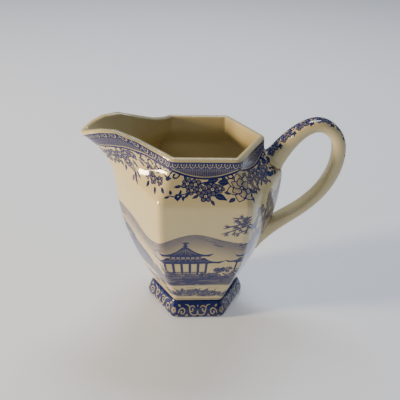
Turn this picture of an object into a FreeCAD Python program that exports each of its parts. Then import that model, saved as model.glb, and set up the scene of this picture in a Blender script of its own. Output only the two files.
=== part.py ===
import FreeCAD, Part

import math
import os

from FreeCAD import Vector

# A small hexagonal cream jug in glazed earthenware.
# Origin at the centre of the base, on the table. +Z up, +X towards the handle, the spout at -X.
# All sizes in millimetres. A "radius" of the hexagon is its corner radius.

# ---- the hexagonal body ----
WAIST_Z = 11.0          # crease between foot and body
WAIST_R = 25.4
SHOULDER_Z = 82.6       # where belly and sloping shoulder would meet if sharp
SHOULDER_R = 44.3
NECK_Z = 94.0           # where the shoulder turns up into the collar
NECK_R = 33.2
RIM_Z = 101.5           # level part of the rim
RIM_R = 32.8
SHOULDER_SOFT = 3.2     # how far the rounding reaches along each side of the shoulder
NECK_SOFT = 2.4
CORNER_SOFT = 2.1       # the same for the six upright corners
WALL = 3.4              # body wall
FLOOR = 4.0             # floor slab, lying on the foot

# ---- the foot ----
FOOT_R = 28.4           # widest corner radius of the foot
FOOT_BULGE_Z = 3.2      # height of that widest place
FOOT_BASE_R = 27.6      # corner radius at the table
FOOT_WALL = 5.6         # width of the foot at the table, around the hollow under the jug
FLOOR_SEAT = 1.0        # how far the floor slab bears on the foot, past the inside of the wall
RING_Z = 1.2            # height of the bare standing ring

# ---- the spout ----
SPOUT_REACH = 61.6      # tip of the lip from the axis
LIP_RISE = 7.3          # crest of the lip above the rim
TIP_RISE = 1.0          # tip of the lip above the rim
SPOUT_FROM_Z = 61.5     # height where the keel starts to swell
SWELL = 3.45            # power of that swelling
SPOUT_WALL = 3.0        # thinner wall at the lip

# ---- the handle ----
HANDLE_REACH = 72.3     # centre of the strap at its furthest, from the axis
HANDLE_TOP = 108.3      # centre of the strap at its highest
HANDLE_W = 9.4          # width of the strap, along Y
HANDLE_T = 7.0          # thickness of the strap
ROOT_UP_T = 11.6        # thickness at the upper root
ROOT_UP_W = 11.2
ROOT_LOW_T = 9.4        # thickness at the lower root, where the strap runs down the wall
ROOT_LOW_W = 8.6
ROOT_LOW_Z = 36.0       # height of the lower root, inside the wall
SLIP = 0.7              # how far the luting slip stands out around each root

COS30 = math.cos(math.radians(30.0))
TOP_SPARE = 12.0        # the walls are drawn this far past the rim, then trimmed to the lip


def mix(a, b, t):
    return a + (b - a) * t


def cubic(points, t):
    """Point and direction on a cubic curve given by four (z, r) pairs."""
    s = 1.0 - t
    weights = (s ** 3, 3 * s * s * t, 3 * s * t * t, t ** 3)
    slopes = (-3 * s * s, 3 * s * s - 6 * s * t, 6 * s * t - 3 * t * t, 3 * t * t)
    place = [sum(w * p[i] for w, p in zip(weights, points)) for i in (0, 1)]
    turn = [sum(w * p[i] for w, p in zip(slopes, points)) for i in (0, 1)]
    return place[0], place[1], turn[1] / turn[0]


def towards(start, end, length):
    """The (z, r) point that lies a given length from start on the way to end."""
    far = math.hypot(end[0] - start[0], end[1] - start[1])
    return tuple(mix(a, b, length / far) for a, b in zip(start, end))


def rounding(before, corner, after, reach, steps):
    """A soft corner of the profile: (z, r, dr/dz) from one side to the other."""
    a = towards(corner, before, reach)
    b = towards(corner, after, reach)
    poles = (a, towards(a, corner, reach * 2 / 3), towards(b, corner, reach * 2 / 3), b)
    return [cubic(poles, i / steps) for i in range(steps + 1)]


def body_profile():
    """Corner radius of the body from waist to rim, as (z, r, dr/dz) at each section."""
    shoulder = (SHOULDER_Z, SHOULDER_R)
    neck = (NECK_Z, NECK_R)
    rim = (RIM_Z, RIM_R)
    top = (SHOULDER_Z - SHOULDER_SOFT, SHOULDER_R)
    rise = top[0] - WAIST_Z
    swell = SHOULDER_R - WAIST_R
    belly = (
        (WAIST_Z, WAIST_R),
        (WAIST_Z + 0.304 * rise, WAIST_R + 0.47 * swell),
        (top[0] - 0.445 * rise, SHOULDER_R),
        top,
    )
    out = [cubic(belly, i / 9) for i in range(9)]
    out += rounding(top, shoulder, neck, SHOULDER_SOFT, 4)
    middle = towards(shoulder, neck, math.hypot(NECK_Z - SHOULDER_Z, SHOULDER_R - NECK_R) / 2)
    out.append((middle[0], middle[1], (NECK_R - SHOULDER_R) / (NECK_Z - SHOULDER_Z)))
    out += rounding(shoulder, neck, rim, NECK_SOFT, 3)
    out += [(RIM_Z + TOP_SPARE * f, RIM_R, 0.0) for f in (-0.25, 0.0, 0.25, 0.5, 0.75, 1.0)]
    return out


def swelling(z):
    """How far the keel has swelled into the spout: 0 on the body, 1 at the tip of the lip."""
    span = RIM_Z + TIP_RISE - SPOUT_FROM_Z
    return max(0.0, (z - SPOUT_FROM_Z) / span) ** SWELL


def keel(z, r):
    """Distance from the axis to the keel of the spout, and its slope, at height z."""
    share = swelling(z)
    step = swelling(z + 0.5) - swelling(z - 0.5)
    return r + (SPOUT_REACH - SHOULDER_R) * share, (SPOUT_REACH - SHOULDER_R) * step


def at(p, z):
    return Vector(p[0], p[1], z)


def curve(poles):
    bezier = Part.BezierCurve()
    bezier.setPoles(poles)
    return bezier.toShape()


def along(a, b, length):
    return a + (b - a).normalize() * length


def section(z, r, reach, pull, inset):
    """Closed hexagonal outline at height z, its -X corner drawn out to reach.

    pull blends the two spout sides from straight (0) to the curved lip (1); inset is how far
    this outline lies inside the outer one.
    """
    corners = [Vector(r * math.cos(math.radians(60 * i)), r * math.sin(math.radians(60 * i)), z)
               for i in range(6)]
    front = corners[4]
    tip = Vector(-reach, 0, z)
    straight_a = front + (tip - front) * 0.4
    straight_b = Vector(-reach, -1.5, z)
    span = SPOUT_REACH - RIM_R / 2
    lip_a = Vector(-RIM_R / 2 - 0.215 * span + 0.53 * inset, -0.438 * RIM_R + 0.85 * inset, z)
    lip_b = Vector(-reach, -0.26 * RIM_R + 0.5 * inset, z)
    a = straight_a + (lip_a - straight_a) * pull
    b = straight_b + (lip_b - straight_b) * pull
    start = along(front, a, CORNER_SOFT)
    side = [start, a, b, tip]
    mirror = [Vector(p.x, -p.y, z) for p in reversed(side)]
    edges = [curve(side), curve(mirror)]
    last = mirror[-1]
    for i in (2, 1, 0, 5, 4):
        here = corners[i]
        after = start if i == 4 else along(here, corners[i - 1], CORNER_SOFT)
        if i != 2:
            before = along(here, corners[(i + 1) % 6], CORNER_SOFT)
            edges.append(Part.makeLine(last, before))
            last = before
        edges.append(curve([last, here, after]))
        last = after
    return Part.Wire(edges)


def shell_loft(inset, below):
    """The body's closed outline, inset by the wall, from the waist to past the lip."""
    wires = []
    widest = 0.0
    for z, r, slope in body_profile():
        lean = slope * COS30
        stretch = math.sqrt(1 + lean * lean)
        z_in = z + inset * lean / stretch
        r_in = r - inset / (stretch * COS30)
        widest = max(widest, r) if z < SHOULDER_Z else SHOULDER_R
        wall = mix(inset, inset * SPOUT_WALL / WALL, min(1.0, swelling(z)))
        reach, rate = keel(z_in, widest)
        rate += slope if z < SHOULDER_Z - SHOULDER_SOFT else 0.0
        reach -= wall * math.sqrt(1 + rate * rate) / (1.0 if swelling(z) > 0.3 else COS30)
        wires.append(section(z_in, r_in, max(reach, r_in), min(swelling(z_in), 1.6), wall))
    if below:
        first = wires[0].BoundBox.ZMin
        low = body_profile()[0]
        drop = first - (WAIST_Z - below)
        r_low = low[1] - inset / COS30 - low[2] * drop
        wires.insert(0, section(WAIST_Z - below, r_low, r_low, 0.0, inset))
    return Part.makeLoft(wires, True, False)


def prism(outline, half_width):
    """Solid between Y = -half_width and +half_width from (x, z) corners."""
    points = [Vector(x, -half_width, z) for x, z in outline]
    face = Part.Face(Part.makePolygon(points + points[:1]))
    return face.extrude(Vector(0, 2 * half_width, 0))


def above_lip():
    """Everything above the rim and the rising, curving edge of the spout."""
    corner = -RIM_R / 2
    span = SPOUT_REACH + corner
    points = [
        Vector(corner + 2.4, 0, RIM_Z),
        Vector(corner - 0.29 * span, 0, RIM_Z + 0.43 * LIP_RISE),
        Vector(corner - 0.64 * span, 0, RIM_Z + LIP_RISE),
        Vector(corner - 0.86 * span, 0, mix(RIM_Z + TIP_RISE, RIM_Z + LIP_RISE, 0.60)),
        Vector(-SPOUT_REACH, 0, RIM_Z + TIP_RISE),
        Vector(-SPOUT_REACH - 4.0, 0, RIM_Z + TIP_RISE - 3.4),
    ]
    edge = Part.BSplineCurve()
    edge.interpolate(Points=points, InitialTangent=Vector(-1, 0, 0), FinalTangent=Vector(-1, 0, -0.8))
    roof = RIM_Z + 3 * TOP_SPARE
    ring = [points[-1], Vector(points[-1].x, 0, roof), Vector(2 * SHOULDER_R, 0, roof),
            Vector(2 * SHOULDER_R, 0, RIM_Z), points[0]]
    lines = [Part.makeLine(a, b) for a, b in zip(ring[:-1], ring[1:])]
    face = Part.Face(Part.Wire([edge.toShape()] + lines))
    face.translate(Vector(0, -2 * SHOULDER_R, 0))
    return face.extrude(Vector(0, 4 * SHOULDER_R, 0))


def spout_side():
    """Everything on the spout's side of the slanting plane from the keel to the rim corners."""
    low_z = SPOUT_FROM_Z + 12.0
    low_x = -SHOULDER_R - 0.5
    high = (-RIM_R / 2, RIM_Z)
    run = (high[0] - low_x) / (high[1] - low_z)
    foot = (low_x - 40 * run, low_z - 40)
    head = (high[0] + 40 * run, high[1] + 40)
    far = -3 * SPOUT_REACH
    return prism([foot, head, (far, head[1]), (far, foot[1])], 2 * SHOULDER_R)


def foot_loft(levels):
    wires = [section(z, r, r, 0.0, 0.0) for z, r in levels]
    return Part.makeLoft(wires, True, False)


def handle_spine():
    """Centre line of the strap in the plane y = 0, from the upper root round to the lower."""
    up = (SHOULDER_R + NECK_R) / 2 - 1.3
    up_z = (SHOULDER_Z + NECK_Z) / 2 - 1.3
    low_z = ROOT_LOW_Z
    points = [
        (up, up_z),
        (mix(up, HANDLE_REACH, 0.31), mix(up_z, HANDLE_TOP, 0.715)),
        (mix(up, HANDLE_REACH, 0.64), HANDLE_TOP),
        (mix(up, HANDLE_REACH, 0.925), mix(up_z, HANDLE_TOP, 0.705)),
        (HANDLE_REACH, mix(low_z, HANDLE_TOP, 0.78)),
        (mix(up, HANDLE_REACH, 0.87), mix(low_z, HANDLE_TOP, 0.52)),
        (mix(up, HANDLE_REACH, 0.50), mix(low_z, HANDLE_TOP, 0.308)),
        (mix(up, HANDLE_REACH, 0.06), mix(low_z, HANDLE_TOP, 0.143)),
        (mix(up, HANDLE_REACH, -0.20), low_z),
    ]
    spine = Part.BSplineCurve()
    spine.interpolate(Points=[Vector(x, 0, z) for x, z in points])
    return spine


def strap_section(spine, share, thick, wide):
    """Rounded outline of the strap, square to its centre line."""
    first, last = spine.FirstParameter, spine.LastParameter
    u = mix(first, last, share)
    centre = spine.value(u)
    ahead = Vector(*spine.tangent(u)[0])
    out = Vector(-ahead.z, 0, ahead.x) * (thick / 2)
    side = Vector(0, wide / 2, 0)
    full = 0.72
    edges = []
    for a, b in ((out, side), (side, -out), (-out, -side), (-side, out)):
        edges.append(curve([centre + a, centre + a + b * full, centre + b + a * full, centre + b]))
    return Part.Wire(edges)


def strap_size(share):
    """Thickness and width of the strap: swelling towards both roots."""
    up = max(0.0, 1 - share / 0.22) ** 1.2
    low = min(1.0, max(0.0, (share - 0.70) / 0.18)) ** 1.5
    thick = HANDLE_T + (ROOT_UP_T - HANDLE_T) * up + (ROOT_LOW_T - HANDLE_T) * low
    wide = HANDLE_W + (ROOT_UP_W - HANDLE_W) * up + (ROOT_LOW_W - HANDLE_W) * low
    return thick, wide


def strap(shares, extra):
    spine = handle_spine()
    wires = []
    for share, more in zip(shares, extra):
        thick, wide = strap_size(share)
        wires.append(strap_section(spine, share, thick + 2 * more, wide + 2 * more))
    return Part.makeLoft(wires, True, False)


def biggest(shape):
    """The main solid of a cut, leaving off loose crumbs."""
    return max(shape.Solids, key=lambda s: s.Volume)


outer = shell_loft(0.0, 0.0)
inner = shell_loft(WALL, 6.0)
trim = above_lip()
wedge = spout_side()

jug_full = outer.cut(trim)
walls = jug_full.cut(inner)
body_wall = biggest(walls.cut(wedge))
spout = biggest(walls.common(wedge))

slab = Part.makeBox(4 * SHOULDER_R, 4 * SHOULDER_R, FLOOR,
                    Vector(-2 * SHOULDER_R, -2 * SHOULDER_R, WAIST_Z))
body_floor = inner.common(slab)

bulge = [
    (0.0, FOOT_BASE_R),
    (RING_Z, mix(FOOT_BASE_R, FOOT_R, 0.62)),
    (FOOT_BULGE_Z, FOOT_R),
    (mix(FOOT_BULGE_Z, WAIST_Z, 0.45), mix(FOOT_R, WAIST_R, 0.36)),
    (WAIST_Z, WAIST_R),
]
hollow_low = FOOT_BASE_R - FOOT_WALL
hollow_top = WAIST_R - 1.1 * WALL / COS30 - FLOOR_SEAT
hollow = foot_loft([
    (-1.0, hollow_low),
    (WAIST_Z / 2, mix(hollow_low, hollow_top, 0.55)),
    (WAIST_Z + 1.0, hollow_top),
])
base = foot_loft(bulge).cut(hollow)
low_slab = Part.makeBox(4 * FOOT_R, 4 * FOOT_R, RING_Z, Vector(-2 * FOOT_R, -2 * FOOT_R, 0))
foot_ring = base.common(low_slab)
foot = base.cut(low_slab)

stations = [0.0, 0.05, 0.1, 0.16, 0.23, 0.31, 0.39, 0.47, 0.55, 0.63, 0.71, 0.78, 0.84, 0.9, 0.95, 1.0]
strap_full = strap(stations, [0.0] * len(stations))
handle = biggest(strap_full.cut(jug_full))
near = [0.0, 0.03, 0.055, 0.08, 0.10]
slip_up = strap(near, [SLIP, SLIP, SLIP * 0.7, SLIP * 0.3, 0.02])
away = [0.76, 0.80, 0.84, 0.90, 1.0]
slip_low = strap(away, [0.02, SLIP * 0.3, SLIP * 0.7, SLIP, SLIP])
handle_upper_joint = biggest(slip_up.cut(jug_full).cut(strap_full))
handle_lower_joint = biggest(slip_low.cut(jug_full).cut(strap_full))

pieces = {
    "body_wall": body_wall,
    "body_floor": body_floor,
    "spout": spout,
    "foot": foot,
    "foot_ring": foot_ring,
    "handle": handle,
    "handle_upper_joint": handle_upper_joint,
    "handle_lower_joint": handle_lower_joint,
}

os.makedirs("parts", exist_ok=True)
for name, shape in pieces.items():
    shape.exportStep("parts/" + name + ".step")
    print(name, round(shape.Volume), len(shape.Solids), shape.isValid())
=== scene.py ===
import math
import random

import bpy
import numpy as np
from mathutils import Matrix, Vector
from mathutils.geometry import delaunay_2d_cdt


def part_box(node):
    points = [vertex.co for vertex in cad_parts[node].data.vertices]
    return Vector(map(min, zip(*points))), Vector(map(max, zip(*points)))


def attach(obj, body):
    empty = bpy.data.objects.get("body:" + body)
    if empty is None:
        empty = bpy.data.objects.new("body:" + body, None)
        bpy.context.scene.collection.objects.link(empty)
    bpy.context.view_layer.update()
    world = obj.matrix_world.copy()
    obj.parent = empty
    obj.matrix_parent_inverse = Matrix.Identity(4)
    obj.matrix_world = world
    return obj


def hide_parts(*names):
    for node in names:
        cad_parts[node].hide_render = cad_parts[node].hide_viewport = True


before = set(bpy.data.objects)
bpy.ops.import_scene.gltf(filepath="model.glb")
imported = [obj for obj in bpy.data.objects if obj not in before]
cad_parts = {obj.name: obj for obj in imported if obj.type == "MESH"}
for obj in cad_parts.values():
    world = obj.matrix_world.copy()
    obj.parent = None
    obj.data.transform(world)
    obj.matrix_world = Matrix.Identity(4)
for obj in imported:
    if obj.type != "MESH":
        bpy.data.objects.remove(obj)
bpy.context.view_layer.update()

# A hexagonal cream jug: slip-cast earthenware under a clear gloss glaze, printed in cobalt blue.
# Lengths inside the script are in millimetres and become metres where a mesh is made.
MM = 0.001


def node_box(name):
    """Low and high corner of a CAD node's box, in millimetres."""
    return [np.array(corner) * 1000 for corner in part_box(name)]


wall_high = node_box("body_wall")[1]
foot_high = node_box("foot")[1]
spout_low, spout_high = node_box("spout")

COS30 = math.cos(math.radians(30))

# ---- sizes of the body ----
WAIST_Z = foot_high[2]                  # crease between foot and body
WAIST_R = 25.4                          # corner radius there
SHOULDER_R = wall_high[1] / COS30       # corner radius at the shoulder
SHOULDER_Z = 82.6
NECK_Z, NECK_R = 94.0, 33.2             # where the shoulder turns up into the collar
RIM_Z, RIM_R = 101.5, 32.8              # the level part of the rim
SHOULDER_SOFT, NECK_SOFT, CORNER_SOFT = 3.4, 2.4, 2.3
WALL = 3.4
FLOOR_TOP = node_box("body_floor")[1][2]
SPOUT_REACH = -spout_low[0]
LIP_RISE = spout_high[2] - RIM_Z
TIP_RISE = 1.0
SPOUT_FROM_Z, SWELL = 61.5, 3.45        # where the spout starts, and the power of its swelling
SPARE = 13.0                            # the wall is drawn this far past the rim, then trimmed to the lip
FOOT_SOFT = 3.0                         # rounding of the foot's corners
FACE = 40.0                             # width given to one face on the flat sheet of the print


# ---------------------------------------------------------------- curves

def bezier(poles, t):
    """Points of a Bezier curve of any degree."""
    n = len(poles) - 1
    t = np.asarray(t, float)[:, None]
    return sum(math.comb(n, i) * t ** i * (1 - t) ** (n - i) * np.asarray(p, float) for i, p in enumerate(poles))


def towards(a, b, length):
    """The point this far from a on the way to b."""
    a, b = np.asarray(a, float), np.asarray(b, float)
    return a + (b - a) * (length / np.linalg.norm(b - a))


def spline(points, start=None, end=None, steps=24):
    """A smooth curve through the points, its ends free or set to a direction."""
    p = np.asarray(points, float)
    h = np.linalg.norm(np.diff(p, axis=0), axis=1)
    n = len(p)
    a, b = np.zeros((n, n)), np.zeros_like(p)
    for i in range(1, n - 1):
        a[i, i - 1:i + 2] = 1 / h[i - 1], 2 / h[i - 1] + 2 / h[i], 1 / h[i]
        b[i] = 3 * ((p[i] - p[i - 1]) / h[i - 1] ** 2 + (p[i + 1] - p[i]) / h[i] ** 2)
    for row, far, gap, way in ((0, 1, h[0], start), (n - 1, n - 2, h[-1], end)):
        a[row, row] = 1
        if way is None:
            a[row, row], a[row, far] = 2, 1
            b[row] = 3 * abs(far - row) * (p[max(row, far)] - p[min(row, far)]) / gap
        else:
            b[row] = np.asarray(way, float) / np.linalg.norm(way)
    m = np.linalg.solve(a, b)
    out = []
    for i in range(n - 1):
        poles = [p[i], p[i] + m[i] * h[i] / 3, p[i + 1] - m[i + 1] * h[i] / 3, p[i + 1]]
        out.append(bezier(poles, np.arange(steps) / steps))
    return np.vstack(out + [p[-1:]])


def lengths(p):
    """Distance along a polyline to each of its points."""
    return np.concatenate([[0], np.cumsum(np.linalg.norm(np.diff(p, axis=0), axis=1))])


def spaced(p, shares):
    """The points of a polyline at these shares of its length."""
    s = lengths(p)
    return np.column_stack([np.interp(np.asarray(shares) * s[-1], s, p[:, i]) for i in range(p.shape[1])])


# ---------------------------------------------------------------- the jug's body

def body_profile():
    """(z, corner radius) from the waist to above the lip."""
    shoulder, neck, rim = (SHOULDER_Z, SHOULDER_R), (NECK_Z, NECK_R), (RIM_Z, RIM_R)
    top = (SHOULDER_Z - SHOULDER_SOFT, SHOULDER_R)
    rise, swell = top[0] - WAIST_Z, SHOULDER_R - WAIST_R
    low_up, low_out, high_down = 0.304, 0.47, 0.445     # how the belly leaves the waist and meets the shoulder
    belly = [(WAIST_Z, WAIST_R), (WAIST_Z + low_up * rise, WAIST_R + low_out * swell),
             (top[0] - high_down * rise, SHOULDER_R), top]
    t = np.linspace(0, 1, 41)
    parts = [bezier(belly, t)]
    for a, c, b, soft in ((top, shoulder, neck, SHOULDER_SOFT), (shoulder, neck, rim, NECK_SOFT)):
        parts.append(bezier([towards(c, a, soft), c, towards(c, b, soft)], t[::4]))
    parts.append(np.array([rim, (RIM_Z + SPARE, RIM_R)]))
    return np.vstack(parts)


def hexagon(r, soft, shares):
    """Outline from the -X corner (u = 0) past the front to the +X corner (u = 3), corners softened."""
    angles = [math.radians(60 * i) for i in range(8)]
    corner = [np.array([r * math.cos(a), r * math.sin(a)]) for a in angles]
    half = np.linspace(0, 0.5, 9)
    out = []
    for i in (3, 4, 5):
        before, a, b, after = corner[i - 1], corner[i], corner[i + 1], corner[(i + 2) % 6]
        leave = bezier([towards(a, before, soft), a, towards(a, b, soft)], 0.5 + half)
        arrive = bezier([towards(b, a, soft), b, towards(b, after, soft)], half)
        out.append(spaced(np.vstack([leave, arrive]), shares)[1 if out else 0:])
    return np.vstack(out)


def body_outline(z, r, shares):
    """The body's outline at height z, its -X corner drawn out into the spout."""
    ring = hexagon(r, CORNER_SOFT, shares)
    swell = max(0.0, (z - SPOUT_FROM_Z) / (RIM_Z + TIP_RISE - SPOUT_FROM_Z)) ** SWELL
    pull = min(swell, 1.6)              # held above the lip, where the wall is trimmed away
    base = r if z < SHOULDER_Z - SHOULDER_SOFT else SHOULDER_R
    reach = base + (SPOUT_REACH - SHOULDER_R) * swell
    front = np.array([-r / 2, -r * COS30])
    next_corner = np.array([r / 2, -r * COS30])
    tip = np.array([-reach, 0.0])
    span = SPOUT_REACH - RIM_R / 2
    # Poles of the spout's side, a by the front corner and b by the tip, drawn in as the spout swells.
    a = front + (tip - front) * 0.4
    b = np.array([-reach, -1.5])
    a = a + (np.array([-RIM_R / 2 - 0.215 * span, -0.438 * RIM_R]) - a) * pull
    b = b + (np.array([-reach, -0.26 * RIM_R]) - b) * pull
    start = towards(front, a, CORNER_SOFT)
    corner = bezier([start, front, towards(front, next_corner, CORNER_SOFT)], np.linspace(0, 1, 17))
    side = np.vstack([bezier([tip, b, a, start], np.linspace(0, 1, 49)), corner[1:9]])
    n = len(shares)
    ring[:n] = spaced(side, shares)
    far = np.vstack([corner[8:], towards(next_corner, front, CORNER_SOFT)[None]])
    q = bezier([towards(next_corner, front, CORNER_SOFT), next_corner,
                towards(next_corner, (r, 0), CORNER_SOFT)], np.linspace(0, 0.5, 9))
    ring[n:2 * n - 1] = spaced(np.vstack([far, q[1:]]), shares)[1:]
    return ring


def crowded(count):
    """Shares of one face, closer together near its corners."""
    even = np.linspace(0, 1, count + 1)
    return even - 0.12 * np.sin(2 * math.pi * even)


def all_round(shares):
    """u of the points round the whole jug: -3 at the handle edge, 0 at the spout, +3 at the handle edge again."""
    u = np.concatenate([shares, 1 + shares[1:], 2 + shares[1:]])
    return np.concatenate([-u[:0:-1], u])


def both_sides(half):
    """A front half mirrored behind, so u runs from -3 at the back of the handle edge to +3."""
    return np.concatenate([half[:, :0:-1] * [1, -1], half], axis=1)


def grid_normals(p, flip=1.0):
    """Outward directions of a grid of points whose columns close on themselves."""
    along = np.gradient(p, axis=1)
    along[:, 0] = along[:, -1] = (p[:, 1] - p[:, -2]) / 2
    down = np.gradient(p, axis=0)
    n = np.cross(along, down) * flip
    return n / np.maximum(np.linalg.norm(n, axis=2, keepdims=True), 1e-9)


def eased(n, reach):
    """The same directions turning more slowly round each corner, so that the wall keeps its width there."""
    ring = n[:, :-1]
    total = sum(np.roll(ring, k, axis=1) for k in range(-reach, reach + 1))
    total = np.concatenate([total, total[:, :1]], axis=1)
    return total / np.linalg.norm(total, axis=2, keepdims=True)


def lip_curve():
    """Height of the rim and lip against x."""
    corner = -RIM_R / 2
    span = SPOUT_REACH + corner
    points = [
        (corner + 2.4, RIM_Z),
        (corner - 0.29 * span, RIM_Z + 0.43 * LIP_RISE),
        (corner - 0.64 * span, RIM_Z + LIP_RISE),
        (corner - 0.86 * span, RIM_Z + 0.4 * TIP_RISE + 0.6 * LIP_RISE),
        (-SPOUT_REACH, RIM_Z + TIP_RISE),
        (-SPOUT_REACH - 4.0, RIM_Z + TIP_RISE - 3.4),
    ]
    curve = spline(points, (-1, 0), (-1, -0.8))
    return np.vstack([curve[::-1], [(90, RIM_Z)]])


def trimmed(line, lip):
    """A rising line of the wall, cut off where it meets the rim."""
    above = line[:, 2] - np.interp(line[:, 0], lip[:, 0], lip[:, 1])
    j = int(np.argmax(above > 0))
    t = above[j - 1] / (above[j - 1] - above[j])
    edge = line[j - 1] + (line[j] - line[j - 1]) * t
    return np.vstack([line[:j], edge])[::-1]


# Distance down the printed sheet: 0 at the lip's outer edge and 100 at the waist, whatever the
# true length; above 0 the sheet goes over the rim, down inside and in to the middle of the floor.
OUTER_SOFT, INNER_SOFT = 2.2, 1.7       # how far the rounding of the rim reaches down each side
RIM_W, INSIDE_W, FLOOR_W = -5.8, -96.0, -122.0
UNDER_W = 124.0


def body_form(per_face=36):
    """The whole glazed skin as rows (down the sheet) of points round the jug."""
    shares = crowded(per_face)
    u = all_round(shares)
    profile = body_profile()
    z = np.arange(WAIST_Z, RIM_Z + SPARE, 0.5)
    r = np.interp(z, profile[:, 0], profile[:, 1])
    flat = both_sides(np.array([body_outline(zz, rr, shares) for zz, rr in zip(z, r)]))
    outer = np.dstack([flat, np.broadcast_to(z[:, None], flat.shape[:2])])
    inner = outer - WALL * eased(grid_normals(outer), 7)    # 7 columns either way
    lip = lip_curve()
    w_out = np.concatenate([np.linspace(OUTER_SOFT, 28, 60), np.linspace(28, 100, 90)[1:]])
    w_in = np.linspace(RIM_W, INSIDE_W, 90)
    toe_high, toe_long = 4.5, 5.5       # the rounding between the wall and the floor inside
    t = np.linspace(0, 1, 9)
    rows = []
    for i in range(len(u)):
        out_line = trimmed(outer[:, i], lip)
        in_line = trimmed(inner[:, i], lip)
        in_long = lengths(in_line)[-1]
        out_pts = spaced(out_line, w_out / 100)
        keep = in_line[in_line[:, 2] > FLOOR_TOP + toe_high]
        in_pts = spaced(keep, INNER_SOFT / in_long + (1 - INNER_SOFT / in_long) * np.linspace(0, 1, 90))
        crown = (out_line[0] + in_line[0]) / 2
        outside = bezier([out_pts[0], out_line[0], crown], t)
        inside = bezier([crown, in_line[0], in_pts[0]], t)
        bottom = in_pts[-1]
        toe = np.array([bottom[0], bottom[1], FLOOR_TOP])
        reach = math.hypot(bottom[0], bottom[1])
        inward = toe * [1 - toe_long / reach, 1 - toe_long / reach, 1]
        centre = np.array([0, 0, FLOOR_TOP])
        bend = bezier([bottom, toe * [0.99, 0.99, 1], inward], t)
        floor = inward + (centre - inward) * np.linspace(0, 1, 12)[:, None]
        under = np.array([0, 0, WAIST_Z]) + (out_pts[-1] - [0, 0, WAIST_Z]) * np.linspace(1, 0, 8)[:, None]
        rows.append(np.vstack([
            floor[::-1], bend[::-1][1:], in_pts[::-1][1:], inside[::-1][1:], outside[::-1][1:],
            out_pts[1:], under[1:]]))
    points = np.array(rows).transpose(1, 0, 2)
    w = np.concatenate([
        np.linspace(FLOOR_W, INSIDE_W - 6, 12), np.linspace(INSIDE_W - 6, INSIDE_W, 9)[1:], w_in[::-1][1:],
        np.linspace(RIM_W, RIM_W / 2 + OUTER_SOFT / 2, 9)[1:],
        np.linspace(RIM_W / 2 + OUTER_SOFT / 2, OUTER_SOFT, 9)[1:],
        w_out[1:], np.linspace(100, UNDER_W, 8)[1:]])
    return u, w, points


def skin_form(name, u, w, points, centre_rows=()):
    """A grid of points as a smooth form to wrap the sheet on, its place on the sheet as a UV map."""
    rows, cols = points.shape[:2]
    facing = grid_normals(points, -1.0)
    for row, way in centre_rows:
        facing[row] = way
    quads = []
    for r in range(rows - 1):
        first = r * cols + np.arange(cols - 1)
        quads.append(np.column_stack([first, first + cols, first + cols + 1, first + 1]))
    quads = np.vstack(quads)
    mesh = bpy.data.meshes.new(name)
    mesh.from_pydata((points.reshape(-1, 3) * MM).tolist(), [], quads.tolist())
    spot = np.dstack(np.broadcast_arrays((u[None, :] - u[0]) / (u[-1] - u[0]),
                                         (w[:, None] - w[0]) / (w[-1] - w[0])))
    uv = mesh.uv_layers.new(name="sheet")
    uv.data.foreach_set("uv", spot.reshape(-1, 2)[quads.ravel()].ravel().astype(np.float32))
    turned = mesh.attributes.new("facing", "FLOAT_VECTOR", "POINT")
    turned.data.foreach_set("vector", facing.reshape(-1, 3).ravel().astype(np.float32))
    thing = bpy.data.objects.new(name, mesh)
    bpy.context.scene.collection.objects.link(thing)
    return thing


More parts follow.
